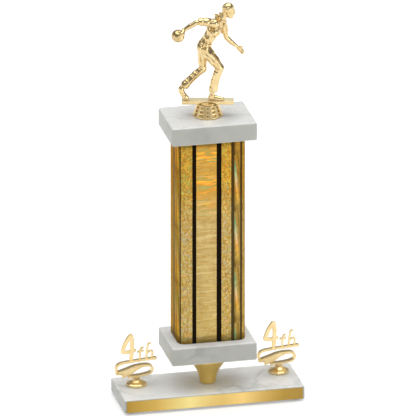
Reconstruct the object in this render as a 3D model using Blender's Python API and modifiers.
"""Bowling trophy: marble base, riser, film-covered column between two slabs, a bowler
on a small pedestal, and two ribbon trims on the base.

Metres, +Z up, +X along the base, -Y the front with the engraving plate. The origin is on
the table, under the middle of the base. Everything from base to figure is threaded on one
vertical tie rod, so each piece stands a hair's breadth off the one below it.
"""

import math

import bmesh
import bpy
from mathutils import Matrix, Vector

MM = 0.001
GAP = 0.3 * MM  # air between two pieces that rest on each other

# Foot pads
PAD_RADIUS, PAD_HEIGHT = 6.35 * MM, 1.5 * MM
PAD_X, PAD_Y = 98 * MM, 28 * MM

# Marble
BASE_LENGTH, BASE_DEPTH, BASE_THICK = 215.9 * MM, 76.2 * MM, 17 * MM
SLAB_LENGTH, SLAB_DEPTH, SLAB_THICK = 101.6 * MM, 75 * MM, 22.2 * MM
MARBLE_ROUNDING = 1.8 * MM
ROD_HOLE_RADIUS = 4 * MM
RECESS_RADIUS, RECESS_DEPTH = 12.7 * MM, 11 * MM

# Engraving plate on the base's front
PLATE_LENGTH, PLATE_HEIGHT, PLATE_THICK = 211 * MM, 14 * MM, 0.5 * MM
ADHESIVE_THICK, ADHESIVE_MARGIN, GLUE_GAP = 0.3 * MM, 1 * MM, 0.1 * MM

# Riser, column and their plugs
RISER_HEIGHT, RISER_WALL, RISER_BORE = 36.5 * MM, 1.6 * MM, 3.6 * MM
COLUMN_LENGTH, COLUMN_DEPTH, COLUMN_HEIGHT = 81 * MM, 50.8 * MM, 252 * MM
COLUMN_CORNER, COLUMN_WALL = 9 * MM, 1.6 * MM
PLUG_HEIGHT, PLUG_WALL = 10 * MM, 2 * MM

# Tie rod and its fasteners
ROD_RADIUS, ROD_CLEAR = 3.175 * MM, 3.5 * MM
NUT_ACROSS_FLATS, NUT_HEIGHT = 11.1 * MM, 5.6 * MM
WASHER_RADIUS, WASHER_THICK = 9.5 * MM, 1.5 * MM
LOCK_WASHER_RADIUS = 6 * MM
ROD_END_ABOVE_TABLE = 2.2 * MM

# Figure: pedestal, plate and bowler, turned as one on the rod
FIGURE_TURN = math.radians(-13)
PEDESTAL_BOTTOM_RADIUS, PEDESTAL_TOP_RADIUS, PEDESTAL_HEIGHT = 17.3 * MM, 12.6 * MM, 14.6 * MM
PEDESTAL_WALL, PEDESTAL_ROOF = 1.8 * MM, 2.4 * MM
NUT_POST_RADIUS, NUT_POST_FOOT = 8.2 * MM, 3.5 * MM
FIGURE_PLATE_LENGTH, FIGURE_PLATE_DEPTH, FIGURE_PLATE_THICK = 60.4 * MM, 12.8 * MM, 4.2 * MM
SPIGOT_RADIUS, SPIGOT_LENGTH = 4 * MM, 2 * MM
BALL_RADIUS = 7.6 * MM
BALL_CENTRE = Vector((-34.5, -16.5, 104.4)) * MM
PEG_RADIUS, PEG_LENGTH = 1.5 * MM, 2.6 * MM

# Trims
TRIM_SPOTS = {"left": (-83.8 * MM, 8.6 * MM), "right": (88 * MM, 12 * MM)}
TRIM_HOLE_RADIUS, TRIM_RECESS_RADIUS, TRIM_RECESS_DEPTH = 2.75 * MM, 8 * MM, 8 * MM
TRIM_FOOT_HEIGHT, TRIM_FACETS = 8 * MM, 10
TRIM_SCREW_RADIUS, TRIM_BORE_RADIUS = 2 * MM, 2.3 * MM
TRIM_HEAD_RADIUS, TRIM_HEAD_HEIGHT = 4 * MM, 2.6 * MM
TRIM_WASHER_RADIUS, TRIM_WASHER_THICK = 6.5 * MM, 1 * MM
TRIM_POST_RADIUS, TRIM_POST_TOP = 3.9 * MM, 12.2 * MM
TRIM_BORE_TOP = 10.9 * MM

# Heights above the table, from the bottom up
BASE_Z = PAD_HEIGHT + GAP
BASE_TOP = BASE_Z + BASE_THICK
RISER_Z = BASE_TOP + GAP
LOWER_SLAB_Z = RISER_Z + RISER_HEIGHT + GAP
COLUMN_Z = LOWER_SLAB_Z + SLAB_THICK + GAP
TOP_SLAB_Z = COLUMN_Z + COLUMN_HEIGHT + GAP
TOP_SLAB_TOP = TOP_SLAB_Z + SLAB_THICK


# ---------------------------------------------------------------- scene and helpers
for old in list(bpy.data.objects):
    bpy.data.objects.remove(old, do_unlink=True)

TROPHY = bpy.data.collections.new("bowling_trophy")
HELPERS = bpy.data.collections.new("cutters")
bpy.context.scene.collection.children.link(TROPHY)
bpy.context.scene.collection.children.link(HELPERS)


def finish_material(name, colour, metallic, roughness):
    """A plain finish with one colour."""
    material = bpy.data.materials.new(name)
    material.use_nodes = True
    shader = material.node_tree.nodes["Principled BSDF"]
    shader.inputs["Base Color"].default_value = (*colour, 1)
    shader.inputs["Metallic"].default_value = metallic
    shader.inputs["Roughness"].default_value = roughness
    return material


MARBLE = finish_material("marble", (0.78, 0.78, 0.76), 0, 0.25)
SATIN_GOLD = finish_material("satin_gold", (0.72, 0.50, 0.16), 1, 0.38)
RISER_GOLD = finish_material("riser_gold", (0.80, 0.54, 0.14), 1, 0.28)
FIGURE_GOLD = finish_material("figure_gold", (0.86, 0.70, 0.36), 1, 0.2)
COLUMN_FILM = finish_material("column_film", (0.62, 0.45, 0.14), 0.8, 0.3)
STEEL = finish_material("zinc_steel", (0.62, 0.63, 0.65), 1, 0.35)
PLUG_PLASTIC = finish_material("plug_plastic", (0.05, 0.05, 0.05), 0, 0.5)
PAD_RUBBER = finish_material("pad_rubber", (0.75, 0.76, 0.76), 0, 0.45)
ADHESIVE = finish_material("adhesive", (0.85, 0.84, 0.80), 0, 0.7)


def mesh_from(bm, name):
    mesh = bpy.data.meshes.new(name)
    bm.to_mesh(mesh)
    bm.free()
    return mesh


def place(name, mesh, material, parent=None, at=(0, 0, 0)):
    """A visible piece of the trophy."""
    obj = bpy.data.objects.new(name, mesh)
    if material:
        obj.data.materials.append(material)
    obj.parent = parent
    obj.location = at
    TROPHY.objects.link(obj)
    return obj


def helper(name, mesh, parent=None, at=(0, 0, 0)):
    """A solid that only cuts or joins another."""
    obj = bpy.data.objects.new(name, mesh)
    obj.parent = parent
    obj.location = at
    obj.hide_render = True
    obj.display_type = "WIRE"
    HELPERS.objects.link(obj)
    return obj


def axis_empty(name, at, turn=0.0):
    empty = bpy.data.objects.new(name, None)
    empty.location = at
    empty.rotation_euler = (0, 0, turn)
    TROPHY.objects.link(empty)
    return empty


def block(name, size, base_z=0.0):
    """A box centred in plan, standing on base_z."""
    bm = bmesh.new()
    bmesh.ops.create_cube(bm, size=1)
    bmesh.ops.scale(bm, vec=size, verts=bm.verts)
    bmesh.ops.translate(bm, vec=(0, 0, base_z + size[2] / 2), verts=bm.verts)
    return mesh_from(bm, name)


def prism(name, radius, height, sides=32, top_radius=None, base_z=0.0):
    """A cylinder, cone or polygon prism that stands on base_z."""
    bm = bmesh.new()
    upper = radius if top_radius is None else top_radius
    bmesh.ops.create_cone(bm, cap_ends=True, segments=sides, radius1=radius, radius2=upper, depth=height)
    bmesh.ops.translate(bm, vec=(0, 0, base_z + height / 2), verts=bm.verts)
    return mesh_from(bm, name)


def open_tube(name, length, depth, height, corner, lid=None, corner_steps=6):
    """The four walls of a rounded rectangle; lid is -1 or +1 to keep the lower or upper end."""
    bm = bmesh.new()
    bmesh.ops.create_cube(bm, size=1)
    bmesh.ops.scale(bm, vec=(length, depth, height), verts=bm.verts)
    bmesh.ops.translate(bm, vec=(0, 0, height / 2), verts=bm.verts)
    upright = [e for e in bm.edges if abs(e.verts[0].co.z - e.verts[1].co.z) > height / 2]
    bmesh.ops.bevel(bm, geom=upright, offset=corner, segments=corner_steps, affect="EDGES", profile=0.5)
    ends = [f for f in bm.faces if abs(f.normal.z) > 0.9 and (lid is None or f.normal.z * lid < 0)]
    bmesh.ops.delete(bm, geom=ends, context="FACES")
    return mesh_from(bm, name)


def turned(name, profile, material, parent=None, at=(0, 0, 0), steps=36, smooth=True):
    """A profile of (radius, height) turned about the piece's own Z. It runs down the outer
    side and back up the inner one, or it starts and ends on the axis."""
    count = len(profile)
    on_axis = profile[0][0] == 0 and profile[-1][0] == 0
    edges = [(i, i + 1) for i in range(count - 1)] + ([] if on_axis else [(count - 1, 0)])
    mesh = bpy.data.meshes.new(name)
    mesh.from_pydata([(r, 0, z) for r, z in profile], edges, [])
    obj = place(name, mesh, material, parent, at)
    screw = obj.modifiers.new("Turn", "SCREW")
    screw.steps = screw.render_steps = steps
    screw.use_merge_vertices = True
    screw.merge_threshold = 0.00001
    screw.use_smooth_shade = smooth
    return obj


def rounded(obj, width, segments=2, angle=40):
    bevel = obj.modifiers.new("Round", "BEVEL")
    bevel.width = width
    bevel.segments = segments
    bevel.limit_method = "ANGLE"
    bevel.angle_limit = math.radians(angle)


def shelled(obj, wall):
    """Gives an open surface a wall that grows inwards."""
    solidify = obj.modifiers.new("Wall", "SOLIDIFY")
    solidify.thickness = wall
    solidify.offset = -1
    solidify.use_even_offset = True


def combine(obj, other, operation="DIFFERENCE"):
    boolean = obj.modifiers.new(other.name, "BOOLEAN")
    boolean.operation = operation
    boolean.object = other
    boolean.solver = "EXACT"


def drill(obj, name, radius, base_z, height, at=(0, 0), parent=None, sides=32):
    """Cuts an upright round or polygonal hole."""
    combine(obj, helper(name, prism(name, radius, height, sides, base_z=base_z), parent, (*at, 0)))


def as_mesh(curve_obj):
    """A curve object turned into a mesh with its caps welded."""
    bpy.context.view_layer.update()
    graph = bpy.context.evaluated_depsgraph_get()
    mesh = bpy.data.meshes.new_from_object(curve_obj.evaluated_get(graph))
    bm = bmesh.new()
    bm.from_mesh(mesh)
    bmesh.ops.remove_doubles(bm, verts=bm.verts, dist=0.000001)
    bmesh.ops.recalc_face_normals(bm, faces=bm.faces)
    bm.transform(curve_obj.matrix_world)
    bm.to_mesh(mesh)
    bm.free()
    bpy.data.objects.remove(curve_obj, do_unlink=True)
    return mesh


# ---------------------------------------------------------------- base
def foot_pads():
    for depth_name, sy in (("front", -1), ("back", 1)):
        for side_name, sx in (("left", -1), ("right", 1)):
            name = f"foot_pad_{depth_name}_{side_name}"
            pad = place(name, prism(name, PAD_RADIUS, PAD_HEIGHT, 20), PAD_RUBBER, at=(sx * PAD_X, sy * PAD_Y, 0))
            rounded(pad, 0.35 * MM)


def marble_slab(name, length, depth, thick, base_z):
    slab = place(name, block(name, (length, depth, thick)), MARBLE, at=(0, 0, base_z))
    rounded(slab, MARBLE_ROUNDING, segments=3)
    drill(slab, f"{name}_rod_hole", ROD_HOLE_RADIUS, base_z - 5 * MM, thick + 10 * MM)
    return slab


def base():
    slab = marble_slab("base_slab", BASE_LENGTH, BASE_DEPTH, BASE_THICK, BASE_Z)
    below = BASE_Z - 5 * MM
    drill(slab, "base_recess", RECESS_RADIUS, below, RECESS_DEPTH + 5 * MM)
    for side, at in TRIM_SPOTS.items():
        drill(slab, f"{side}_trim_hole", TRIM_HOLE_RADIUS, below, BASE_THICK + 10 * MM, at, sides=24)
        drill(slab, f"{side}_trim_recess", TRIM_RECESS_RADIUS, below, TRIM_RECESS_DEPTH + 5 * MM, at)


def engraving_plate():
    """The blank metal strip and the adhesive sheet that holds it."""
    middle = BASE_Z + BASE_THICK / 2
    sheet_y = -BASE_DEPTH / 2 - GLUE_GAP - ADHESIVE_THICK / 2
    sheet_height = PLATE_HEIGHT - 2 * ADHESIVE_MARGIN
    sheet_size = (PLATE_LENGTH - 2 * ADHESIVE_MARGIN, ADHESIVE_THICK, sheet_height)
    place("plate_adhesive", block("plate_adhesive", sheet_size), ADHESIVE, at=(0, sheet_y, middle - sheet_height / 2))
    plate_y = sheet_y - ADHESIVE_THICK / 2 - GLUE_GAP - PLATE_THICK / 2
    plate_size = (PLATE_LENGTH, PLATE_THICK, PLATE_HEIGHT)
    place("engraving_plate", block("engraving_plate", plate_size), SATIN_GOLD, at=(0, plate_y, middle - PLATE_HEIGHT / 2))


# ---------------------------------------------------------------- riser, slabs and column
RISER_FLARE = [  # outer radius and height in mm, from the rim under the slab down
    (24.6, 36.5), (24.6, 34.6), (22.8, 30.4), (19.4, 25.2), (16.5, 21.0),
    (14.2, 17.4), (12.5, 13.8), (11.2, 10.4), (10.2, 6.0), (9.4, 1.4), (8.9, 0.4), (8.2, 0.0),
]  # fmt: skip
RISER_FLOOR = 3 * MM


def riser():
    outer = [(r * MM, z * MM) for r, z in RISER_FLARE]
    bore = [(RISER_BORE, 0), (RISER_BORE, RISER_FLOOR)]
    inner = [(r - RISER_WALL, z) for r, z in reversed(outer) if z > RISER_FLOOR + RISER_WALL]
    floor_edge = [(inner[0][0] - 0.6 * MM, RISER_FLOOR)]
    turned("riser", outer + bore + floor_edge + inner, RISER_GOLD, at=(0, 0, RISER_Z))


def column():
    shell = open_tube("column_shell", COLUMN_LENGTH, COLUMN_DEPTH, COLUMN_HEIGHT, COLUMN_CORNER)
    shelled(place("column_shell", shell, COLUMN_FILM, at=(0, 0, COLUMN_Z)), COLUMN_WALL)
    shrink = 2 * (COLUMN_WALL + GAP)
    corner = COLUMN_CORNER - COLUMN_WALL - GAP
    for name, lid, base_z in (
        ("column_plug_lower", -1, COLUMN_Z),
        ("column_plug_upper", 1, COLUMN_Z + COLUMN_HEIGHT - PLUG_HEIGHT),
    ):
        cup = open_tube(name, COLUMN_LENGTH - shrink, COLUMN_DEPTH - shrink, PLUG_HEIGHT, corner, lid)
        plug = place(name, cup, PLUG_PLASTIC, at=(0, 0, base_z))
        shelled(plug, PLUG_WALL)
        drill(plug, f"{name}_hole", ROD_CLEAR, base_z - 5 * MM, PLUG_HEIGHT + 10 * MM)


# ---------------------------------------------------------------- tie rod and fasteners
def ring(name, outer, inner, thick, base_z, material=STEEL, parent=None, at=(0, 0)):
    profile = [(outer, thick), (outer, 0), (inner, 0), (inner, thick)]
    return turned(name, profile, material, parent, (*at, base_z), steps=32)


def hex_nut(name, base_z, parent=None):
    corner = NUT_ACROSS_FLATS / math.sqrt(3)
    nut = place(name, prism(name, corner, NUT_HEIGHT, sides=6), STEEL, parent, (0, 0, base_z))
    rounded(nut, 0.4 * MM, segments=1, angle=80)
    drill(nut, f"{name}_thread", ROD_CLEAR, base_z - 5 * MM, NUT_HEIGHT + 10 * MM, parent=parent)


def tie_rod():
    top = TOP_SLAB_TOP + PEDESTAL_HEIGHT - PEDESTAL_ROOF - 1.5 * MM
    mesh = prism("tie_rod", ROD_RADIUS, top - ROD_END_ABOVE_TABLE, sides=24)
    rounded(place("tie_rod", mesh, STEEL, at=(0, 0, ROD_END_ABOVE_TABLE)), 0.6 * MM, segments=1)


def base_fasteners():
    """Washer, split lock washer and nut, hanging in the recess under the base."""
    washer_z = BASE_Z + RECESS_DEPTH - GAP - WASHER_THICK
    ring("base_washer", WASHER_RADIUS, ROD_CLEAR, WASHER_THICK, washer_z)
    lock_z = washer_z - GAP - WASHER_THICK
    lock = ring("base_lock_washer", LOCK_WASHER_RADIUS, ROD_CLEAR, WASHER_THICK, lock_z)
    slot = helper("lock_washer_slot", block("lock_washer_slot", (8 * MM, 0.8 * MM, 6 * MM)), at=(6 * MM, 0, lock_z - 2 * MM))
    slot.rotation_euler = (math.radians(20), 0, 0)
    combine(lock, slot)
    hex_nut("base_nut", lock_z - GAP - NUT_HEIGHT)


# ---------------------------------------------------------------- figure
def pedestal(figure):
    """A hollow drum with a post inside that holds the nut."""
    height, roof_under = PEDESTAL_HEIGHT, PEDESTAL_HEIGHT - PEDESTAL_ROOF
    taper = (PEDESTAL_BOTTOM_RADIUS - PEDESTAL_TOP_RADIUS) / height
    inner_bottom = PEDESTAL_BOTTOM_RADIUS - PEDESTAL_WALL
    profile = [
        (PEDESTAL_TOP_RADIUS - 0.5 * MM, height),
        (PEDESTAL_TOP_RADIUS, height - 0.5 * MM),
        (PEDESTAL_BOTTOM_RADIUS, 1.4 * MM),
        (PEDESTAL_BOTTOM_RADIUS - 0.9 * MM, 0),
        (inner_bottom, 0),
        (inner_bottom - taper * roof_under, roof_under),
        (NUT_POST_RADIUS, roof_under),
        (NUT_POST_RADIUS, NUT_POST_FOOT),
        (SPIGOT_RADIUS + GAP, NUT_POST_FOOT),
        (SPIGOT_RADIUS + GAP, height),
    ]
    drum = turned("figure_pedestal", profile, FIGURE_GOLD, figure, (0, 0, GAP))
    pocket = (NUT_ACROSS_FLATS + 2 * GAP) / math.sqrt(3)
    pocket_top = GAP + NUT_POST_FOOT + NUT_HEIGHT + GAP
    drill(drum, "nut_pocket", pocket, 0, pocket_top, parent=figure, sides=6)
    hex_nut("figure_nut", pocket_top - GAP - NUT_HEIGHT, figure)


FIGURE_PLATE_Z = GAP + PEDESTAL_HEIGHT + GAP
FIGURE_PLATE_TOP = FIGURE_PLATE_Z + FIGURE_PLATE_THICK
SHOE_PEGS = [(9.5 * MM, -3.2 * MM), (-24.6 * MM, -2.4 * MM)]  # under the ball of each foot
SWELL = [(0, 3.3), (6.0, 3.3), (8.6, 2.8), (10.8, 1.7), (12.3, 0.3), (12.3, 0), (0, 0)]


def figure_plate(figure):
    size = (FIGURE_PLATE_LENGTH, FIGURE_PLATE_DEPTH, FIGURE_PLATE_THICK)
    plate = place("figure_plate", block("figure_plate", size), FIGURE_GOLD, figure, (0, 0, FIGURE_PLATE_Z))
    rounded(plate, 0.6 * MM)
    swell = turned("plate_swell", [(r * MM, z * MM) for r, z in SWELL], None, figure, (0, 0, FIGURE_PLATE_Z + 0.05 * MM))
    TROPHY.objects.unlink(swell)
    HELPERS.objects.link(swell)
    swell.hide_render = True
    swell.display_type = "WIRE"
    combine(plate, swell, "UNION")
    spigot = prism("plate_spigot", SPIGOT_RADIUS, SPIGOT_LENGTH + 1 * MM, 24, base_z=FIGURE_PLATE_Z - SPIGOT_LENGTH)
    combine(plate, helper("plate_spigot", spigot, figure), "UNION")
    for i, at in enumerate(SHOE_PEGS):
        drill(plate, f"shoe_hole_{i}", PEG_RADIUS + GAP, FIGURE_PLATE_Z - 2 * MM, 8 * MM, at, figure, sides=20)


# Limbs in mm: each point is (x, y, z, radius), in the figure's own frame. He walks towards
# +X, with his right side to -Y and the ball behind him.
LIMBS = {
    "right_thigh": [(-4, -5, 85, 7.4), (1.5, -6, 78, 6.8), (8, -6, 69.5, 5.9), (14, -5.5, 60.8, 5.0)],
    "right_calf": [(14, -5.5, 60.8, 5.0), (11.5, -5, 54, 5.0), (8.2, -4.5, 44, 4.9), (6.6, -4, 34, 4.9)],
    "right_ankle": [(6.2, -4.0, 37, 2.9), (4.6, -3.6, 24.5, 3.1)],
    "right_shoe": [(4.0, -3.4, 22.9, 3.4), (9.5, -3.3, 22.2, 3.2), (17.4, -3.2, 21.4, 2.7)],
    "left_thigh": [(-4.5, 5.5, 84, 7.2), (-5.8, 5, 74, 6.0), (-6, 4.5, 65, 5.0), (-5.8, 4, 56, 4.5)],
    "left_calf": [(-5.8, 4, 56, 4.5), (-14.5, 3, 49, 4.6), (-22, 1.5, 42, 4.4), (-26, 0.8, 37, 4.6)],
    "left_ankle": [(-24.5, 0.6, 39, 2.9), (-30.5, -1.0, 33, 3.1)],
    "left_shoe": [(-31.4, -1.4, 33.0, 3.5), (-28.4, -2.0, 27, 3.2), (-24.4, -2.4, 22.0, 3.3)],
    "shoulders": [(8, -11.5, 118.4, 5.4), (12.5, 0, 115.6, 6.5), (16.6, 11, 111.5, 5.4)],
    "right_arm": [(8, -12.5, 119, 5.2), (-1, -15, 121.4, 4.8), (-8, -16.2, 122.2, 4.0), (-13, -17, 121.4, 3.1)],
    "right_forearm": [(-13, -17, 121.4, 3.1), (-20, -17.3, 117, 2.9), (-28, -17.4, 110.6, 2.3)],
    "left_arm": [(16.8, 12, 111.2, 5.2), (18.4, 14, 103, 4.9), (19.6, 15, 96.5, 4.2)],
    "left_elbow": [(19.4, 15, 98, 3.1), (22, 15.8, 90.4, 3.0), (28, 16.4, 84, 2.7), (33.2, 16.8, 79.4, 2.1)],
    "left_hand": [(33.2, 16.8, 79.4, 2.1), (37, 17, 76.2, 3.1), (41.2, 17, 71.2, 2.1)],
    "left_thumb": [(35, 16.6, 78.6, 1.6), (40.8, 16, 79.4, 1.2)],
    "neck": [(14.2, 0, 118.4, 4.8), (20.6, 0, 126, 4.2)],
    "right_fingers": [(-27.4, -18.6, 106.8, 2.8), (-27.2, -22.4, 104.2, 2.2), (-30, -25.0, 102.4, 1.7)],
}
# Rounded masses in mm: centre, half sizes, lean about Y in degrees.
MASSES = {
    "seat": ((-4.8, 0, 84.5), (8.2, 12.0, 8.2), 0),
    "waist": ((-2.4, 0, 90.5), (7.4, 11.4, 7.0), 20),
    "ribs": ((2.2, 0, 98.0), (7.2, 11.6, 8.5), 25),
    "chest": ((6.8, 0, 106.0), (8.6, 12.8, 9.0), 30),
    "head": ((24.2, 0, 130.7), (7.5, 6.6, 9.5), 12),
    "right_palm": ((-27.8, -17.8, 107.2), (3.8, 4.2, 4.6), 35),
}
BOWLER_VOXEL, BOWLER_KEPT = 0.9 * MM, 0.068


def limb_into(bm, name, points):
    """A tapered round limb along its centre line, with a ball at each point."""
    curve = bpy.data.curves.new(name, "CURVE")
    curve.dimensions = "3D"
    curve.bevel_depth = MM
    curve.bevel_resolution = 3
    curve.use_fill_caps = True
    spline = curve.splines.new("POLY")
    spline.points.add(len(points) - 1)
    for point, (x, y, z, radius) in zip(spline.points, points, strict=True):
        point.co = (x * MM, y * MM, z * MM, 1)
        point.radius = radius
        centre = Matrix.Translation(Vector((x, y, z)) * MM)
        bmesh.ops.create_uvsphere(bm, u_segments=16, v_segments=10, radius=radius * MM, matrix=centre)
    tube = bpy.data.objects.new(name, curve)
    HELPERS.objects.link(tube)
    mesh = as_mesh(tube)
    bm.from_mesh(mesh)
    bpy.data.meshes.remove(mesh)


def bowler(figure):
    """Limbs and masses fused into one skin, then cut for the ball and given its pegs."""
    bm = bmesh.new()
    for name, points in LIMBS.items():
        limb_into(bm, name, points)
    for centre, halves, lean in MASSES.values():
        turn = Matrix.Rotation(math.radians(lean), 4, "Y") @ Matrix.Diagonal((*halves, 1))
        where = Matrix.Translation(Vector(centre) * MM) @ Matrix.Scale(MM, 4) @ turn
        bmesh.ops.create_uvsphere(bm, u_segments=24, v_segments=16, radius=1, matrix=where)
    figure_skin = place("bowler", mesh_from(bm, "bowler"), FIGURE_GOLD, figure)
    remesh = figure_skin.modifiers.new("Fuse", "REMESH")
    remesh.mode = "VOXEL"
    remesh.voxel_size = BOWLER_VOXEL
    soften = figure_skin.modifiers.new("Soften", "SMOOTH")
    soften.iterations = 3
    thin = figure_skin.modifiers.new("Thin", "DECIMATE")
    thin.ratio = BOWLER_KEPT
    sole_cut = helper("sole_cut", block("sole_cut", (0.1, 0.05, 0.01), FIGURE_PLATE_TOP + GAP - 0.01), figure)
    combine(figure_skin, sole_cut)
    for i, (x, y) in enumerate(SHOE_PEGS):
        peg = prism(f"shoe_peg_{i}", PEG_RADIUS, PEG_LENGTH + 1.5 * MM, 16, base_z=FIGURE_PLATE_TOP + GAP - PEG_LENGTH)
        combine(figure_skin, helper(f"shoe_peg_{i}", peg, figure, (x, y, 0)), "UNION")
    combine(figure_skin, helper("ball_seat", ball_mesh("ball_seat", BALL_RADIUS + GAP), figure, BALL_CENTRE))
    peg = helper("ball_peg", prism("ball_peg", PEG_RADIUS, 2 * PEG_LENGTH, 16, base_z=-PEG_LENGTH), figure, grip_point())
    peg.rotation_mode = "QUATERNION"
    peg.rotation_quaternion = grip_direction().to_track_quat("Z", "Y")
    combine(figure_skin, peg, "UNION")


def grip_direction():
    """From the palm's middle towards the ball's centre."""
    return (BALL_CENTRE - Vector(MASSES["right_palm"][0]) * MM).normalized()


def grip_point():
    return BALL_CENTRE - grip_direction() * BALL_RADIUS


def ball_mesh(name, radius):
    bm = bmesh.new()
    bmesh.ops.create_uvsphere(bm, u_segments=24, v_segments=16, radius=radius)
    mesh = mesh_from(bm, name)
    mesh.shade_smooth()
    return mesh


def bowling_ball(figure):
    ball = place("bowling_ball", ball_mesh("bowling_ball", BALL_RADIUS), FIGURE_GOLD, figure, BALL_CENTRE)
    depth = PEG_LENGTH + 2 * GAP
    socket = prism("ball_socket", PEG_RADIUS + GAP, 2 * depth, 16, base_z=-depth)
    hole = helper("ball_socket", socket, figure, grip_point())
    hole.rotation_mode = "QUATERNION"
    hole.rotation_quaternion = grip_direction().to_track_quat("Z", "Y")
    combine(ball, hole)


# ---------------------------------------------------------------- trims
# Centre lines in mm, from the trim's axis on the base's top: (x, z, stroke width).
NUMERAL = [
    [(-6.0, 62.8, 4.4), (-4.9, 53.7, 4.4), (-5.5, 43.7, 4.4), (-6.4, 31.0, 4.4)],
    [(-6.2, 62.4, 4.2), (-11.3, 56.8, 4.2), (-14.7, 50.7, 4.2), (-16.8, 43.4, 4.2)],
    [(-16.5, 42.4, 4.1), (-11.3, 41.9, 4.1), (-5.9, 42.7, 4.0), (-2.2, 43.6, 3.6)],
]
SMALL_LETTERS = [
    [(7.9, 46.6, 2.1), (5.6, 44.9, 2.2), (4.6, 40.2, 2.3), (3.7, 31.0, 2.4)],
    [(1.8, 41.4, 2.2), (4.9, 42.6, 2.2), (8.0, 42.2, 2.2)],
    [(16.5, 51.3, 2.3), (14.3, 50.4, 2.4), (13.3, 46.6, 2.5), (12.3, 39.7, 2.5), (11.8, 32.0, 2.5)],
    [(12.9, 39.0, 2.0), (15.4, 41.2, 2.2), (18.2, 41.5, 2.3), (19.3, 39.1, 2.4), (18.9, 36.0, 2.4), (17.9, 32.0, 2.4)],
]
TOP_BAR = [
    (23.2, 32.3, 3.0), (16.3, 31.9, 2.6), (4.3, 31.0, 2.5), (-7.7, 30.0, 2.5), (-17.3, 28.9, 2.6),
    (-22.3, 27.0, 2.7), (-24.4, 23.2, 2.7), (-23.9, 19.2, 2.7), (-20.6, 17.2, 2.6), (-15.6, 18.6, 2.4),
]  # fmt: skip
BAND = [
    (-20.6, 14.6, 9.2), (-8.0, 18.7, 9.0), (-2.4, 21.4, 7.2), (5.5, 24.0, 4.4), (13.2, 24.6, 2.7),
    (17.4, 23.0, 2.4), (18.8, 19.6, 2.4), (16.0, 14.8, 2.3), (4.3, 12.3, 2.2), (-10.0, 11.8, 2.2),
]  # fmt: skip
BAND_DEPTH, BAR_DEPTH, NUMERAL_DEPTH, LETTER_DEPTH = 8.0 * MM, 5.6 * MM, 3.0 * MM, 2.6 * MM
SWALLOWTAIL_CORNER = Vector((-17.6, 0, 15.3)) * MM


def smooth_line(points, steps=3):
    """Points on a Catmull-Rom curve through the given ones."""
    ends = [points[0], *points, points[-1]]
    line = []
    for a, b, c, d in zip(ends, ends[1:], ends[2:], ends[3:], strict=False):
        for step in range(steps):
            t = step / steps
            line.append(
                tuple(
                    0.5 * (2 * q + (r - p) * t + (2 * p - 5 * q + 4 * r - s) * t**2 + (3 * (q - r) + s - p) * t**3)
                    for p, q, r, s in zip(a, b, c, d, strict=True)
                )
            )
    return [*line, points[-1]]


def stroke_outline(centre_line, end_steps=3):
    """The closed outline of a stroke with round ends."""
    line = [(Vector((x, z)) * MM, width * MM / 2) for x, z, width in smooth_line(centre_line)]
    sides = ([], [])
    for i, (point, half) in enumerate(line):
        along = (line[min(i + 1, len(line) - 1)][0] - line[max(i - 1, 0)][0]).normalized()
        across = Vector((-along.y, along.x))
        sides[0].append(point + across * half)
        sides[1].append(point - across * half)

    def cap(centre, start, half):
        """Half a circle from start round the end, without its two end points."""
        first = math.atan2(start.y - centre.y, start.x - centre.x)
        angles = [first - math.pi * k / end_steps for k in range(1, end_steps)]
        return [centre + Vector((math.cos(a), math.sin(a))) * half for a in angles]

    far = cap(line[-1][0], sides[0][-1], line[-1][1])
    near = cap(line[0][0], sides[1][0], line[0][1])
    return sides[0] + far + sides[1][::-1] + near


def flat_solid(name, outline, depth):
    """An upright plate with this outline, in the XZ plane and centred on Y."""
    curve = bpy.data.curves.new(name, "CURVE")
    curve.dimensions = "2D"
    curve.fill_mode = "BOTH"
    curve.extrude = depth / 2
    spline = curve.splines.new("POLY")
    spline.points.add(len(outline) - 1)
    for point, (x, z) in zip(spline.points, outline, strict=True):
        point.co = (x, z, 0, 1)
    spline.use_cyclic_u = True
    obj = bpy.data.objects.new(name, curve)
    obj.rotation_euler = (math.pi / 2, 0, 0)
    HELPERS.objects.link(obj)
    return as_mesh(obj)


TRIM_FOOT = [(4.6, 8.0), (5.0, 6.6), (7.6, 4.7), (11.4, 3.4), (12.5, 2.4), (12.6, 0.3), (12.2, 0)]


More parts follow.
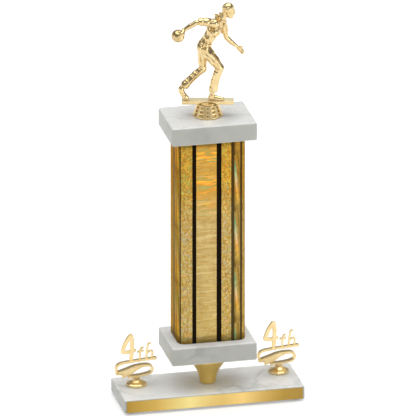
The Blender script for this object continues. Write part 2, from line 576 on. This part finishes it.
def trim(side, spot):
    axis = axis_empty(f"{side}_trim_axis", (*spot, BASE_TOP))
    outer = [(r * MM, z * MM) for r, z in TRIM_FOOT]
    bore = [(TRIM_BORE_RADIUS, 0), (TRIM_BORE_RADIUS, TRIM_FOOT_HEIGHT)]
    turned(f"{side}_trim_foot", outer + bore, FIGURE_GOLD, axis, (0, 0, GAP), steps=TRIM_FACETS, smooth=False)

    ribbon = place(f"{side}_trim_ribbon", flat_solid("band", stroke_outline(BAND), BAND_DEPTH), FIGURE_GOLD, axis)
    ribbon.location = (0, -0.5 * MM, 0)
    notch = 14 * MM
    notch_block = block("swallowtail_notch", (notch, notch, notch), -notch)
    notch_at = SWALLOWTAIL_CORNER - Vector((notch / 2, 0, 0))
    combine(ribbon, helper(f"{side}_swallowtail_notch", notch_block, axis, notch_at))
    strokes = [("bar", TOP_BAR, BAR_DEPTH)]
    strokes += [(f"numeral_{i}", line, NUMERAL_DEPTH + 0.1 * i * MM) for i, line in enumerate(NUMERAL)]
    strokes += [(f"letter_{i}", line, LETTER_DEPTH + 0.07 * i * MM) for i, line in enumerate(SMALL_LETTERS)]
    for name, line, depth in strokes:
        solid = flat_solid(name, stroke_outline(line), depth)
        combine(ribbon, helper(f"{side}_{name}", solid, axis, (0, -0.2 * MM, 0)), "UNION")
    post_z = GAP + TRIM_FOOT_HEIGHT + GAP
    post = prism("post", TRIM_POST_RADIUS, TRIM_POST_TOP - post_z, 20, base_z=post_z)
    combine(ribbon, helper(f"{side}_post", post, axis), "UNION")
    drill(ribbon, f"{side}_post_bore", TRIM_BORE_RADIUS, 0, TRIM_BORE_TOP, parent=axis, sides=20)

    washer_z = -BASE_THICK + TRIM_RECESS_DEPTH - GAP - TRIM_WASHER_THICK
    ring(f"{side}_trim_washer", TRIM_WASHER_RADIUS, TRIM_BORE_RADIUS, TRIM_WASHER_THICK, washer_z, parent=axis)
    head_top = washer_z - GAP
    screw_profile = [
        (0, TRIM_BORE_TOP - GAP),
        (TRIM_SCREW_RADIUS - 0.4 * MM, TRIM_BORE_TOP - GAP),
        (TRIM_SCREW_RADIUS, TRIM_BORE_TOP - GAP - 0.5 * MM),
        (TRIM_SCREW_RADIUS, head_top),
        (TRIM_HEAD_RADIUS, head_top),
        (TRIM_HEAD_RADIUS, head_top - 1.4 * MM),
        (TRIM_HEAD_RADIUS - 1.1 * MM, head_top - TRIM_HEAD_HEIGHT),
        (0, head_top - TRIM_HEAD_HEIGHT),
    ]
    turned(f"{side}_trim_screw", screw_profile, STEEL, axis, steps=20)


# ---------------------------------------------------------------- assembly
foot_pads()
base()
engraving_plate()
riser()
marble_slab("lower_column_slab", SLAB_LENGTH, SLAB_DEPTH, SLAB_THICK, LOWER_SLAB_Z)
column()
marble_slab("top_slab", SLAB_LENGTH, SLAB_DEPTH, SLAB_THICK, TOP_SLAB_Z)
tie_rod()
base_fasteners()

figure_axis = axis_empty("figure_axis", (0, 0, TOP_SLAB_TOP), FIGURE_TURN)
pedestal(figure_axis)
figure_plate(figure_axis)
bowler(figure_axis)
bowling_ball(figure_axis)

for side_name, trim_spot in TRIM_SPOTS.items():
    trim(side_name, trim_spot)
